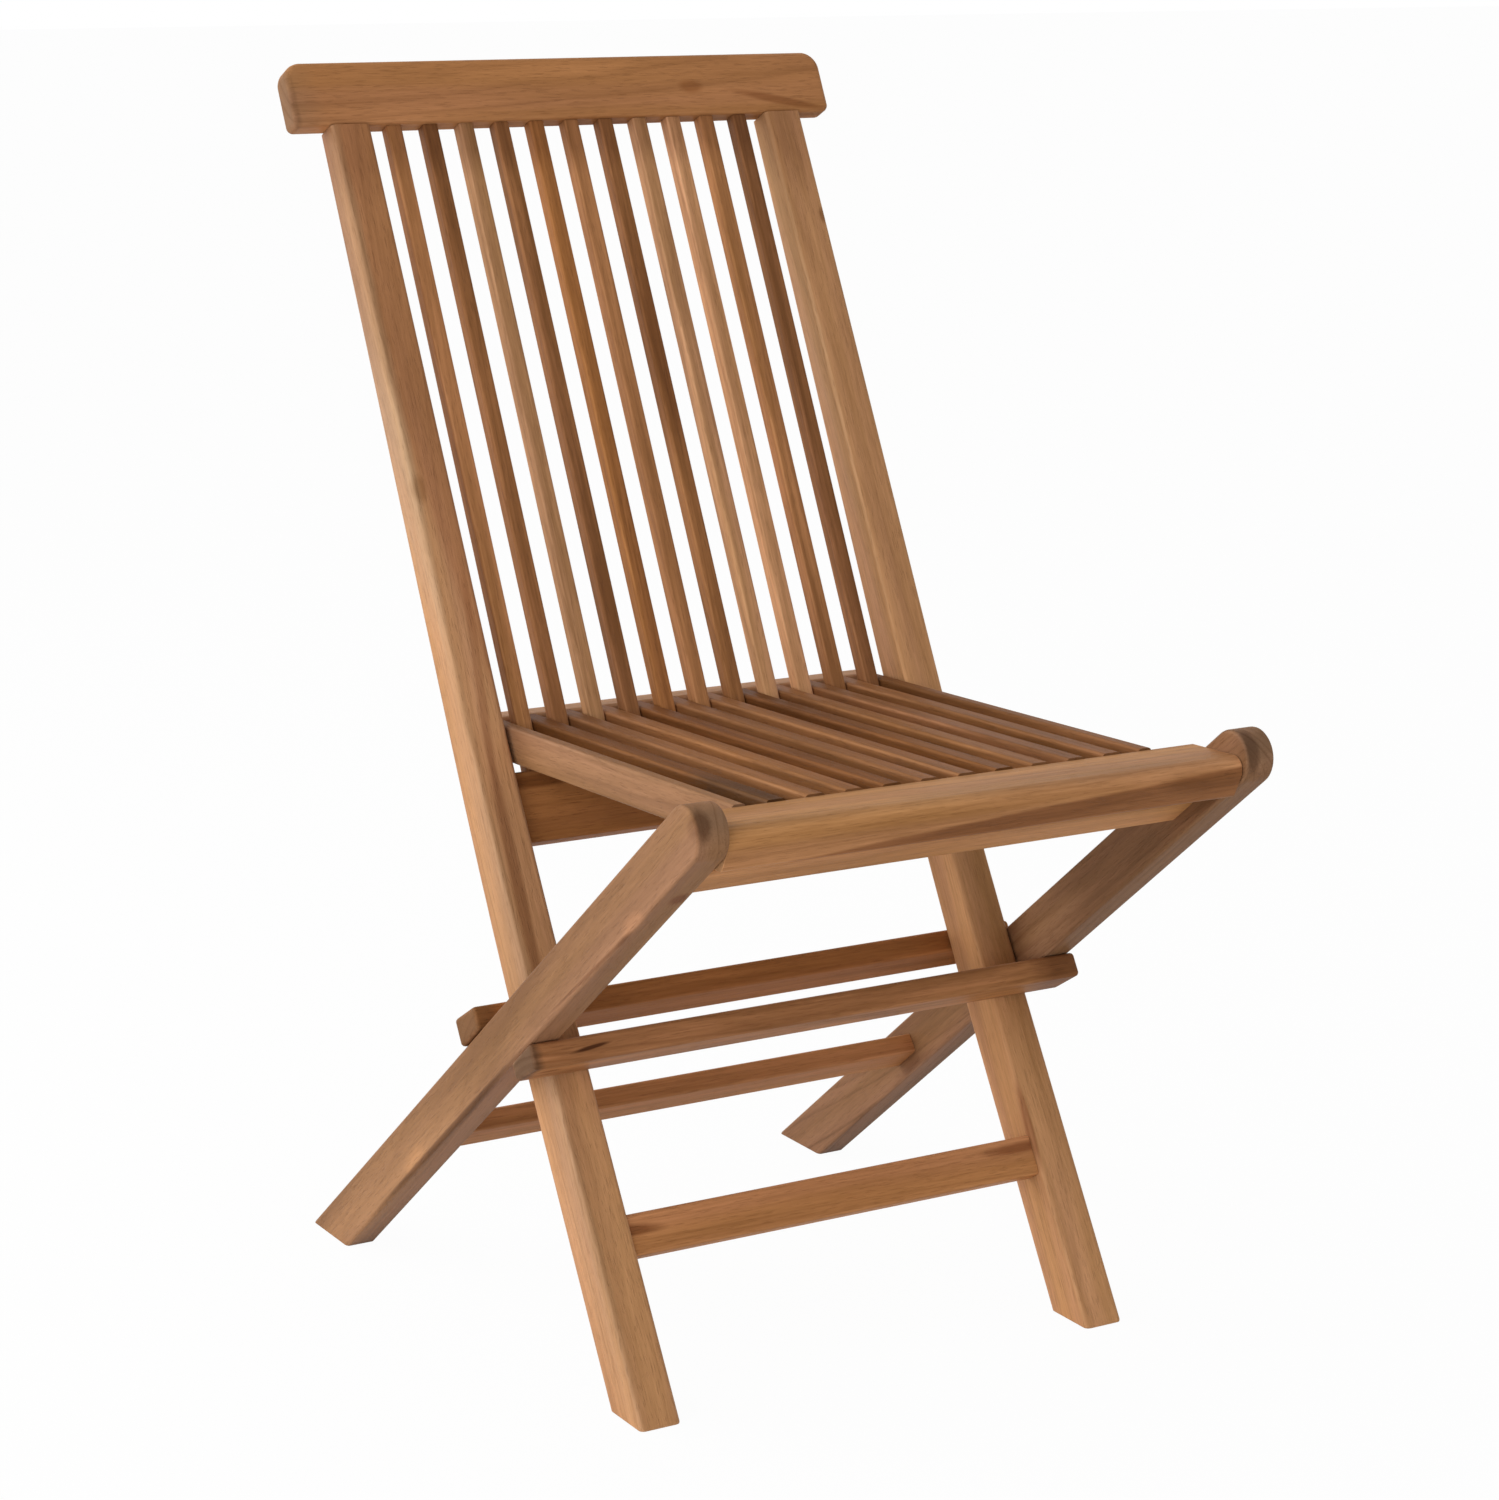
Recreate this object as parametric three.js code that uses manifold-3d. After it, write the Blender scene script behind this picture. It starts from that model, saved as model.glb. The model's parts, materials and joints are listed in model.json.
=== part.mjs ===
// Folding slatted side chair in solid teak.
// Millimetres, +Z up, the sitter faces -Y, the origin lies on the floor below the middle.
import * as THREE from "three";
import { mergeVertices } from "three/addons/utils/BufferGeometryUtils.js";
import Module from "manifold-3d";

const wasm = await Module();
wasm.setup();

// Joinery
const fitGap = 0.3; // between any two pieces that meet
const cutOverrun = 3; // how far a cutter runs past the face that it opens
const weldDistance = 1e-4;
const cornerSteps = 3; // facets of a small rounded edge
const roundSteps = 12; // facets of a half round end
const pinSteps = 20;

// Back slats, the narrow pieces that fan up from the lower rail to the crest
const slatCount = 11;
const slatPitch = 29.36;
const backSlat = { width: 12.3, depth: 12, edge: 2.4 };
const backSlatTenon = { width: 8, depth: 7, length: 18 };

// Seat slats, one in each gap between two back slats
const seatSlat = { width: 15, height: 31, topEdge: 2.8, bottomEdge: 1.2 };
const seatSlatTenon = { width: 7, height: 16, length: 9 };
const seatSideRail = { width: 10.7, height: 26, edge: 2.6 };
const sideRailTenon = { width: 5, height: 14, length: 9 };
const sideRailToBackSlat = 1.55; // running gap beside the outermost back slat
const sideRailToPost = 2.7; // running gap beside the post

// Seat rails, in the seat's own frame with the seat pivot at its origin
const seatSlopeShare = 0.03; // fall to the rear per unit of length
const seatTopAbovePivot = 16.9;
const frontRail = {
  ahead: 31,
  chinAhead: 22,
  behind: 24.6,
  topBelowSlats: 1.4,
  bottomBelowPivot: 13.8,
  noseHeight: 3,
  waterfallRadius: 9,
  noseRadius: 8,
  chinRadius: 4.5,
  rearRadius: 1,
  ease: 0.8,
};
const rearRail = { depth: 21.5, edge: 2.6 };
const slideClearance = 12; // from the back slats to the rear rail that slides behind them

// Posts, which run from the front feet up to the crest and bend at seat height
const post = { width: 31.3, ease: 3.8, blend: 120, footRadius: 4 };
const footTrim = 3.2; // how far the outlines of posts and legs run on below the floor that cuts them flat
const postFront = { foot: -187.42, bendHeight: 345.5, lowerRunShare: 0.597, upperRunShare: 0.503 };
const postRear = { foot: -141.3, bendHeight: 298.5, lowerRunShare: 0.585, upperRunShare: 0.48 };
const postTenon = { width: 18, depth: 11, length: 26, root: 30 }; // root: how far it starts inside

// Crest rail
const crest = { length: 454.4, height: 49.4, depth: 19.5, topCorner: 14, bottomCorner: 5, ease: 4 };
const crestFrontEdgeHeight = 848.9;
const crestSetback = 1; // from the front of the posts
const backLeanDegrees = 25.8;

// Lower back rail
const lowerRail = { height: 52, depth: 20, edge: 3 };
const lowerRailTenon = { height: 34, depth: 9 };

// Stretcher between the posts
const footStretcher = { height: 29.8, depth: 18, edge: 3, topHeight: 127.1, recess: 3.5 };
const stretcherTenonShoulder = 4.5; // all round, on every stretcher
const tenonLength = 17; // of rails and stretchers, into posts and legs

// Stop rails, which the cross legs rest against when the chair stands open
const stopRail = { length: 452, depth: 35, edge: 3, ease: 2.8 };
const frontStopHeel = 14; // height on the post's face
const rearStopHeel = 16.6;
const dowel = { radius: 3.5, length: 38 };

// Cross legs, which carry the seat's front and stand on the rear feet
const crossHeight = 234.5; // of the pivot where leg and post cross
const crossSetback = 19.5; // of that pivot behind the post's front face
const crossLeg = {
  width: 23.4,
  depth: 39.2,
  rakeDegrees: 38.1,
  topReach: 334.5,
  ease: 2.4,
  heelRadius: 3,
  toeRadius: 2.8,
};
const legToPost = 1.4; // running gap
const seatPivotReach = 314.7; // from the crossing, up the leg
const upperStretcher = { depth: 31, thickness: 13.4, edge: 2.6 };
const lowerStretcher = { depth: 32, thickness: 15.6, edge: 2.6 };
const lowerStretcherReach = 177.1; // from the crossing, down the leg to its middle

// Pivot pins, hidden in blind holes
const pin = { radius: 5, depthInPost: 18, depthInLeg: 15, depthInRail: 22 };

// Colours of the oiled wood
const teak = {
  honey: 0xb98556,
  tan: 0xa97d58,
  brown: 0x93653f,
  dark: 0x7a5030,
  light: 0xc4976a,
  pin: 0x8d8f90,
};

// Widths, worked outwards from the middle of the chair
const backHalfWidth = ((slatCount - 1) / 2) * slatPitch + backSlat.width / 2;
const sideRailInner = backHalfWidth + sideRailToBackSlat;
const sideRailOuter = sideRailInner + seatSideRail.width;
const postInner = sideRailOuter + sideRailToPost;
const postOuter = postInner + post.width;
const legInner = postOuter + legToPost;
const legOuter = legInner + crossLeg.width;
const frontRailHalf = legInner - fitGap;

// Small 2-D helpers, on (y, z) pairs kept in Vector2
const at = (y, z) => new THREE.Vector2(y, z);
const along = (point, direction, distance) => point.clone().addScaledVector(direction, distance);
const quarterTurn = (v) => at(-v.y, v.x); // to the left of v

function meet(pointA, directionA, pointB, directionB) {
  const reach = pointB.clone().sub(pointA).cross(directionB) / directionA.cross(directionB);
  return along(pointA, directionA, reach);
}

// Edge of a post at a height, without the blend of its bend
function postEdge(edge, height) {
  const lower = Math.min(height, edge.bendHeight);
  return edge.foot + edge.lowerRunShare * lower + edge.upperRunShare * (height - lower);
}

// Where a post edge's lower and upper stretches run, from its bend
function postEdgeLine(edge, runShare) {
  return {
    point: at(postEdge(edge, edge.bendHeight), edge.bendHeight),
    direction: at(runShare, 1).normalize(),
  };
}

// Frames: each body, and each leaning plane, is a group with its own axes
const chair = new THREE.Group();
chair.name = "folding_chair";

function addFrame(name, parent, y, z, turnAboutX) {
  const frame = new THREE.Group();
  frame.name = name;
  frame.position.set(0, y, z);
  frame.rotation.x = turnAboutX;
  parent.add(frame);
  frame.updateWorldMatrix(true, false);
  return frame;
}

const backLean = THREE.MathUtils.degToRad(backLeanDegrees);
const legRake = THREE.MathUtils.degToRad(crossLeg.rakeDegrees);
const seatSlope = Math.atan(seatSlopeShare);

const backFrame = addFrame("back_frame", chair, 0, 0, 0);

// Back panel: +Z runs up the slats, the origin is in the middle of the crest's lower face
const panelUp = at(Math.sin(backLean), Math.cos(backLean));
const panelRear = at(Math.cos(backLean), -Math.sin(backLean));
const crestFrontEdge = at(postEdge(postFront, crestFrontEdgeHeight) + crestSetback, crestFrontEdgeHeight);
const panelOrigin = along(crestFrontEdge, panelRear, crest.depth / 2);
const backPanel = addFrame("back_panel", backFrame, panelOrigin.x, panelOrigin.y, -backLean);

// Cross legs: +Y runs down the leg to the rear foot, the origin is the crossing pivot
const crossing = at(postEdge(postFront, crossHeight) + crossSetback, crossHeight);
const legDown = at(Math.cos(legRake), -Math.sin(legRake));
const legUpper = at(Math.sin(legRake), Math.cos(legRake));
const legFrame = addFrame("leg_frame", chair, crossing.x, crossing.y, -legRake);

// Seat: +Y runs to the rear, the origin is the seat pivot
const seatPivot = along(crossing, legDown, -seatPivotReach);
const seatRear = at(Math.cos(seatSlope), -Math.sin(seatSlope));
const seatUp = at(Math.sin(seatSlope), Math.cos(seatSlope));
const seatFrame = addFrame("seat_frame", chair, seatPivot.x, seatPivot.y, -seatSlope);

const seatBottom = seatTopAbovePivot - seatSlat.height;
const slatRearFace = meet(
  along(seatPivot, seatUp, seatTopAbovePivot),
  seatRear,
  along(panelOrigin, panelRear, backSlat.depth / 2),
  panelUp,
);
const rearRailFront = slatRearFace.sub(seatPivot).dot(seatRear) + slideClearance;

// Closed solids from geometries, and back
function toSolid(geometry) {
  const bare = geometry.clone();
  bare.deleteAttribute("normal");
  bare.deleteAttribute("uv");
  const merged = mergeVertices(bare, weldDistance);
  const vertProperties = merged.attributes.position.array;
  const triVerts = new Uint32Array(merged.index.array);
  return new wasm.Manifold(new wasm.Mesh({ numProp: 3, vertProperties, triVerts }));
}

function toGeometry(solid) {
  const mesh = solid.getMesh();
  const geometry = new THREE.BufferGeometry();
  geometry.setAttribute("position", new THREE.BufferAttribute(mesh.vertProperties, mesh.numProp));
  geometry.setIndex(new THREE.BufferAttribute(mesh.triVerts, 1));
  const faceted = geometry.toNonIndexed();
  faceted.computeVertexNormals();
  return faceted;
}

// A geometry given in one frame, moved into the axes of another
function carried(geometry, from, to) {
  const matrix = to.matrixWorld.clone().invert().multiply(from.matrixWorld);
  return geometry.clone().applyMatrix4(matrix);
}

// Joins the extras to a base shape, then takes the cuts away
function assembled(base, extras, cuts) {
  let solid = toSolid(base);
  for (const extra of extras) solid = solid.add(toSolid(extra));
  for (const cut of cuts) solid = solid.subtract(toSolid(cut));
  return toGeometry(solid);
}

function addPiece(frame, name, geometry, color, finish = { roughness: 0.55, metalness: 0 }) {
  const material = new THREE.MeshStandardMaterial({ color, ...finish });
  const mesh = new THREE.Mesh(geometry, material);
  mesh.name = name;
  frame.add(mesh);
  return mesh;
}

// Draws an outline on to a corner and round it by an arc
function roundCorner(shape, before, corner, after, radius) {
  const toBefore = before.clone().sub(corner).normalize();
  const toAfter = after.clone().sub(corner).normalize();
  const halfAngle = Math.acos(THREE.MathUtils.clamp(toBefore.dot(toAfter), -1, 1)) / 2;
  const setback = radius / Math.tan(halfAngle);
  const start = along(corner, toBefore, setback);
  const end = along(corner, toAfter, setback);
  const centre = along(corner, toBefore.add(toAfter).normalize(), radius / Math.sin(halfAngle));
  const startAngle = Math.atan2(start.y - centre.y, start.x - centre.x);
  const endAngle = Math.atan2(end.y - centre.y, end.x - centre.x);
  const clockwise = start.clone().sub(centre).cross(end.clone().sub(centre)) < 0;
  if (shape.curves.length === 0) shape.moveTo(start.x, start.y);
  shape.absarc(centre.x, centre.y, radius, startAngle, endAngle, clockwise);
}

// Outline whose corners are all rounded, from [point, radius] pairs
function roundedOutline(corners) {
  const shape = new THREE.Shape();
  corners.forEach(([corner, radius], index) => {
    const before = corners[(index + corners.length - 1) % corners.length][0];
    const after = corners[(index + 1) % corners.length][0];
    roundCorner(shape, before, corner, after, radius);
  });
  shape.closePath();
  return shape;
}

// Rectangle between two corners, rounded alike at all four or as listed from the lower left on
function roundedRectangle(low, high, radii) {
  const corners = [low, at(high.x, low.y), high, at(low.x, high.y)];
  return roundedOutline(corners.map((corner, index) => [corner, radii[index]]));
}

// The extrusions below keep their outline's outer size and round its rim by ease
function extruded(shape, length, ease, curveSegments) {
  const geometry = new THREE.ExtrudeGeometry(shape, {
    depth: length - 2 * ease,
    steps: 1,
    curveSegments,
    bevelEnabled: ease > 0,
    bevelThickness: ease,
    bevelSize: ease,
    bevelOffset: -ease,
    bevelSegments: cornerSteps,
  });
  return geometry.translate(0, 0, ease - length / 2);
}

// A (y, z) outline, extruded across the chair about a middle x
function acrossChair(shape, middle, length, ease, curveSegments = cornerSteps) {
  const geometry = extruded(shape, length, ease, curveSegments);
  const turn = new THREE.Matrix4().makeBasis(
    new THREE.Vector3(0, 1, 0),
    new THREE.Vector3(0, 0, 1),
    new THREE.Vector3(1, 0, 0),
  );
  return geometry.applyMatrix4(turn).translate(middle, 0, 0);
}

// An (x, z) outline, extruded along y from one end to the other
function alongDepth(shape, from, to, ease) {
  const geometry = extruded(shape, to - from, ease, cornerSteps);
  return geometry.rotateX(Math.PI / 2).translate(0, (from + to) / 2, 0);
}

// An (x, y) outline, extruded along z
function alongHeight(shape, from, to, ease) {
  return extruded(shape, to - from, ease, cornerSteps).translate(0, 0, (from + to) / 2);
}

function block(low, high) {
  const size = high.clone().sub(low);
  const middle = low.clone().add(high).divideScalar(2);
  return new THREE.BoxGeometry(size.x, size.y, size.z).translate(middle.x, middle.y, middle.z);
}

const corner3 = (x, y, z) => new THREE.Vector3(x, y, z);

// The same block as a mortise: larger by the fit gap all round
function loosened(low, high) {
  return block(low.clone().subScalar(fitGap), high.clone().addScalar(fitGap));
}

// Round bar between two x places
function roundBar(radius, from, to, y = 0, z = 0) {
  const bar = new THREE.CylinderGeometry(radius, radius, to - from, pinSteps);
  return bar.rotateZ(Math.PI / 2).translate((from + to) / 2, y, z);
}

const slatPlaces = Array.from({ length: slatCount }, (_, i) => (i - (slatCount - 1) / 2) * slatPitch);
const gapPlaces = slatPlaces.slice(1).map((place) => place - slatPitch / 2);
const numbered = (base, index) => base + "_" + String(index + 1).padStart(2, "0");
const sides = [
  { side: -1, word: "left" },
  { side: 1, word: "right" },
];

// Lower back rail: its upper front edge just clears the seat slats that rest above it
const lowerRailTopCorner = meet(
  along(seatPivot, seatUp, seatBottom - fitGap),
  seatRear,
  along(panelOrigin, panelRear, -lowerRail.depth / 2),
  panelUp,
);
const lowerRailTop = lowerRailTopCorner.sub(panelOrigin).dot(panelUp);
const lowerRailMiddle = lowerRailTop - lowerRail.height / 2;

// Tenoned bars between the posts or the legs: a rounded bar with a thin core that runs on
function tenonedBar(outline, barHalf, core) {
  return assembled(acrossChair(outline, 0, 2 * barHalf, 0), [block(core.low, core.high)], []);
}

// A tenoned bar's core, from its (y, z) rectangle about a middle
function coreAbout(middle, ySize, zSize, half) {
  return {
    low: corner3(-half, middle.x - ySize / 2, middle.y - zSize / 2),
    high: corner3(half, middle.x + ySize / 2, middle.y + zSize / 2),
  };
}

const lowerRailCore = coreAbout(
  at(0, lowerRailMiddle),
  lowerRailTenon.depth,
  lowerRailTenon.height,
  postInner + tenonLength,
);

// Foot stretcher, in a frame of its own that leans with the post's lower front face
const lowerFront = postEdgeLine(postFront, postFront.lowerRunShare);
const lowerRear = postEdgeLine(postRear, postRear.lowerRunShare);
const intoPost = quarterTurn(lowerFront.direction).negate();
const stretcherTop = along(
  at(postEdge(postFront, footStretcher.topHeight), footStretcher.topHeight),
  intoPost,
  footStretcher.recess,
);
const stretcherLean = Math.atan(postFront.lowerRunShare);
const stretcherFrame = addFrame(
  "foot_stretcher_axis",
  backFrame,
  stretcherTop.x,
  stretcherTop.y,
  -stretcherLean,
);
const footStretcherCore = coreAbout(
  at(footStretcher.depth / 2, -footStretcher.height / 2),
  footStretcher.depth - 2 * stretcherTenonShoulder,
  footStretcher.height - 2 * stretcherTenonShoulder,
  postInner + tenonLength,
);

// Stop rails: flat on the post, bevelled to lie along the cross leg
function stopRailOutline(postLine, outward, legSide, heel) {
  const legFace = along(crossing, legUpper, legSide * (crossLeg.depth / 2 + fitGap));
  const innerPoint = along(postLine.point, outward, fitGap);
  const outerPoint = along(innerPoint, outward, stopRail.depth);
  const heelEnd = meet(legFace, legDown, innerPoint, postLine.direction);
  const toeEnd = meet(legFace, legDown, outerPoint, postLine.direction);
  const heelFoot = along(heelEnd, postLine.direction, legSide * heel);
  const toeFoot = along(heelFoot, outward, stopRail.depth);
  const corners = [heelEnd, toeEnd, toeFoot, heelFoot];
  if (legSide < 0) corners.reverse();
  const middle = heelEnd.clone().add(heelFoot).divideScalar(2);
  return { shape: roundedOutline(corners.map((corner) => [corner, stopRail.edge])), middle };
}

const outFront = intoPost.clone().negate();
const outRear = quarterTurn(lowerRear.direction).negate();
const stopRails = [
  { word: "front", outward: outFront, ...stopRailOutline(lowerFront, outFront, -1, frontStopHeel) },
  { word: "rear", outward: outRear, ...stopRailOutline(lowerRear, outRear, 1, rearStopHeel) },
];

// Dowel through the joint of stop rail and post, centred on the post's face
function dowelShape(rail, x, radius, length) {
  const bar = new THREE.CylinderGeometry(radius, radius, length, pinSteps);
  return bar.rotateX(rail.outward.angle()).translate(x, rail.middle.x, rail.middle.y);
}

const postMiddle = (postInner + postOuter) / 2;

// Posts
// Their outline runs on past the floor and the crest's lower face, so that the cuts there are crisp
const postTop = along(panelOrigin, panelUp, post.ease);
const upperFront = postEdgeLine(postFront, postFront.upperRunShare);
const upperRear = postEdgeLine(postRear, postRear.upperRunShare);
const frontTop = meet(upperFront.point, upperFront.direction, postTop, panelRear);
const rearTop = meet(upperRear.point, upperRear.direction, postTop, panelRear);

function postOutline() {
  const shape = new THREE.Shape();
  const bend = (edge, height) => at(postEdge(edge, height), height);
  const frontLow = bend(postFront, postFront.bendHeight - post.blend);
  const frontBend = bend(postFront, postFront.bendHeight);
  const frontHigh = bend(postFront, postFront.bendHeight + post.blend);
  const rearLow = bend(postRear, postRear.bendHeight - post.blend);
  const rearBend = bend(postRear, postRear.bendHeight);
  const rearHigh = bend(postRear, postRear.bendHeight + post.blend);
  const frontFoot = bend(postFront, -footTrim);
  const rearFoot = bend(postRear, -footTrim);
  roundCorner(shape, frontLow, frontFoot, rearFoot, post.footRadius);
  roundCorner(shape, frontFoot, rearFoot, rearLow, post.footRadius);
  shape.lineTo(rearLow.x, rearLow.y);
  shape.quadraticCurveTo(rearBend.x, rearBend.y, rearHigh.x, rearHigh.y);
  shape.lineTo(rearTop.x, rearTop.y);
  shape.lineTo(frontTop.x, frontTop.y);
  shape.lineTo(frontHigh.x, frontHigh.y);
  shape.quadraticCurveTo(frontBend.x, frontBend.y, frontLow.x, frontLow.y);
  shape.closePath();
  return shape;
}

// Limits of the post's tenon, in the back panel's frame
function postTenonLimits(side) {
  const middle = side * postMiddle;
  return [
    corner3(middle - postTenon.width / 2, -postTenon.depth / 2, -postTenon.root),
    corner3(middle + postTenon.width / 2, postTenon.depth / 2, postTenon.length),
  ];
}

// Room below the floor and above the crest's lower face, less the fit gap, which cut the posts to length
const floorBlock = block(
  corner3(-crest.length, -crest.length, -footTrim - cutOverrun),
  corner3(crest.length, crest.length, 0),
);
const crestBlock = carried(
  block(
    corner3(-crest.length, -crest.length, -fitGap),
    corner3(crest.length, crest.length, post.ease + crest.depth),
  ),
  backPanel,
  backFrame,
);

for (const { side, word } of sides) {
  const tenon = carried(block(...postTenonLimits(side)), backPanel, backFrame);
  const pinHole = roundBar(
    pin.radius + fitGap,
    side > 0 ? postOuter - pin.depthInPost - fitGap : -postOuter - cutOverrun,
    side > 0 ? postOuter + cutOverrun : -postOuter + pin.depthInPost + fitGap,
    crossing.x,
    crossing.y,
  );
  const mortises = [
    carried(loosened(lowerRailCore.low, lowerRailCore.high), backPanel, backFrame),
    carried(loosened(footStretcherCore.low, footStretcherCore.high), stretcherFrame, backFrame),
    pinHole,
    ...stopRails.map((rail) =>
      dowelShape(rail, side * postMiddle, dowel.radius + fitGap, dowel.length + 2 * fitGap),
    ),
  ];
  const stave = acrossChair(postOutline(), side * postMiddle, post.width, post.ease, cornerSteps * 2);
  const blank = assembled(stave, [], [floorBlock, crestBlock]);
  addPiece(backFrame, "back_post_" + word, assembled(blank, [tenon], mortises), teak.honey);
}

// Crest rail
const crestOutline = roundedRectangle(at(-crest.length / 2, 0), at(crest.length / 2, crest.height), [
  crest.bottomCorner,
  crest.bottomCorner,
  crest.topCorner,
  crest.topCorner,
]);

// Limits of a back slat's tenoned core, in the back panel's frame
function backSlatCore(place) {
  return [
    corner3(
      place - backSlatTenon.width / 2,
      -backSlatTenon.depth / 2,
      lowerRailTop - backSlatTenon.length,
    ),
    corner3(place + backSlatTenon.width / 2, backSlatTenon.depth / 2, backSlatTenon.length),
  ];
}

const crestMortises = [
  ...slatPlaces.map((place) => loosened(...backSlatCore(place))),
  ...sides.map(({ side }) => loosened(...postTenonLimits(side))),
];
const crestBlank = extruded(crestOutline, crest.depth, crest.ease, cornerSteps * 2).rotateX(Math.PI / 2);
addPiece(backPanel, "crest_rail", assembled(crestBlank, [], crestMortises), teak.honey);

// Back slats
const backSlatSection = roundedRectangle(
  at(-backSlat.width / 2, -backSlat.depth / 2),
  at(backSlat.width / 2, backSlat.depth / 2),
  Array(4).fill(backSlat.edge),
);
slatPlaces.forEach((place, index) => {
  const [low, high] = backSlatCore(place);
  const stave = alongHeight(backSlatSection, lowerRailTop + fitGap, -fitGap, 0).translate(place, 0, 0);
  const shade = [teak.brown, teak.dark, teak.tan][index % 3];
  addPiece(backPanel, numbered("back_slat", index), assembled(stave, [block(low, high)], []), shade);
});

// Lower back rail
const lowerRailOutline = roundedRectangle(
  at(-lowerRail.depth / 2, lowerRailTop - lowerRail.height),
  at(lowerRail.depth / 2, lowerRailTop),
  Array(4).fill(lowerRail.edge),
);
const lowerRailBlank = acrossChair(lowerRailOutline, 0, 2 * (postInner - fitGap), 0);
addPiece(
  backPanel,
  "back_lower_rail",
  assembled(
    lowerRailBlank,
    [block(lowerRailCore.low, lowerRailCore.high)],
    slatPlaces.map((place) => loosened(...backSlatCore(place))),
  ),
  teak.honey,
);

// Foot stretcher
const footStretcherOutline = roundedRectangle(
  at(0, -footStretcher.height),
  at(footStretcher.depth, 0),
  Array(4).fill(footStretcher.edge),
);
addPiece(
  stretcherFrame,
  "foot_stretcher",
  tenonedBar(footStretcherOutline, postInner - fitGap, footStretcherCore),
  teak.tan,
);

// Stop rails and their dowels
for (const rail of stopRails) {
  const holes = sides.map(({ side }) =>
    dowelShape(rail, side * postMiddle, dowel.radius + fitGap, dowel.length + 2 * fitGap),
  );
  const blank = acrossChair(rail.shape, 0, stopRail.length, stopRail.ease);
  addPiece(backFrame, "stop_rail_" + rail.word, assembled(blank, [], holes), teak.brown);
  for (const { side, word } of sides) {
    const peg = dowelShape(rail, side * postMiddle, dowel.radius, dowel.length);
    addPiece(backFrame, "stop_rail_dowel_" + rail.word + "_" + word, peg, teak.light);
  }
}

// Cross legs
const legDrop = crossHeight + footTrim;
const footHeel = (legDrop - (crossLeg.depth / 2) * Math.cos(legRake)) / Math.sin(legRake);
const footToe = (legDrop + (crossLeg.depth / 2) * Math.cos(legRake)) / Math.sin(legRake);
const topCentre = -crossLeg.topReach;

function crossLegOutline() {
  const half = crossLeg.depth / 2;
  const heel = at(footHeel, -half);
  const toe = at(footToe, half);
  const lowerTop = at(topCentre, -half);
  const upperTop = at(topCentre, half);
  const shape = new THREE.Shape();
  roundCorner(shape, lowerTop, heel, toe, crossLeg.heelRadius);
  roundCorner(shape, heel, toe, upperTop, crossLeg.toeRadius);
  shape.absarc(topCentre, 0, half, Math.PI / 2, -Math.PI / 2, false);
  shape.closePath();
  return shape;
}

// Leg stretchers, centred on the leg
// The upper one carries the seat slats: its top edge lies just under them
const seatRearOnLeg = at(Math.cos(legRake - seatSlope), Math.sin(legRake - seatSlope));
const upperStretcherEdge = meet(
  along(at(-seatPivotReach, 0), quarterTurn(seatRearOnLeg), seatBottom - fitGap),
  seatRearOnLeg,
  at(0, upperStretcher.thickness / 2),
  at(1, 0),
);
const legStretchers = [
  { word: "upper", stock: upperStretcher, middle: upperStretcherEdge.x + upperStretcher.depth / 2 },
  { word: "lower", stock: lowerStretcher, middle: lowerStretcherReach },
].map((stretcher) => ({
  ...stretcher,
  core: coreAbout(
    at(stretcher.middle, 0),
    stretcher.stock.depth - 2 * stretcherTenonShoulder,
    stretcher.stock.thickness - 2 * stretcherTenonShoulder,
    legInner + tenonLength,
  ),
}));

for (const { side, word } of sides) {
  const inner = side * legInner;
  const pinHole = (y) =>
    roundBar(
      pin.radius + fitGap,
      side > 0 ? inner - cutOverrun : inner - pin.depthInLeg - fitGap,
      side > 0 ? inner + pin.depthInLeg + fitGap : inner + cutOverrun,
      y,
    );
  const cuts = [
    carried(floorBlock, chair, legFrame),
    ...legStretchers.map(({ core }) => loosened(core.low, core.high)),
    pinHole(0),
    pinHole(-seatPivotReach),
  ];
  const middle = (side * (legInner + legOuter)) / 2;
  const blank = acrossChair(crossLegOutline(), middle, crossLeg.width, crossLeg.ease, roundSteps);
  addPiece(legFrame, "cross_leg_" + word, assembled(blank, [], cuts), teak.tan);
}

for (const { word, stock, middle, core } of legStretchers) {
  const outline = roundedRectangle(
    at(middle - stock.depth / 2, -stock.thickness / 2),
    at(middle + stock.depth / 2, stock.thickness / 2),
    Array(4).fill(stock.edge),
  );
  addPiece(
    legFrame,
    "leg_stretcher_" + word,
    tenonedBar(outline, legInner - fitGap, core),
    teak.tan,
  );
}

// Seat slats and side rails: staves along y, with a thin core as the tenon at both ends
const seatStaveFront = frontRail.behind + fitGap;
const seatStaveRear = rearRailFront - fitGap;

// Limits of a stave's tenoned core, in the seat's frame
function staveCore(place, tenon, middleHeight) {
  return [
    corner3(place - tenon.width / 2, frontRail.behind - tenon.length, middleHeight - tenon.height / 2),
    corner3(place + tenon.width / 2, rearRailFront + tenon.length, middleHeight + tenon.height / 2),
  ];
}

const slatTenonMiddle = (seatTopAbovePivot - frontRail.topBelowSlats - frontRail.bottomBelowPivot) / 2;
const sideRailMiddle = (sideRailInner + sideRailOuter) / 2;
const staves = [
  ...gapPlaces.map((place, index) => ({
    name: numbered("seat_slat", index),
    place,
    tenon: seatSlatTenon,
    width: seatSlat.width,
    height: seatSlat.height,
    edges: [seatSlat.bottomEdge, seatSlat.bottomEdge, seatSlat.topEdge, seatSlat.topEdge],
    color: [teak.brown, teak.tan, teak.dark][index % 3],
  })),
  ...sides.map(({ side, word }) => ({
    name: "seat_side_rail_" + word,
    place: side * sideRailMiddle,
    tenon: sideRailTenon,
    width: seatSideRail.width,
    height: seatSideRail.height,
    edges: Array(4).fill(seatSideRail.edge),
    color: teak.honey,
  })),
];

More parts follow.
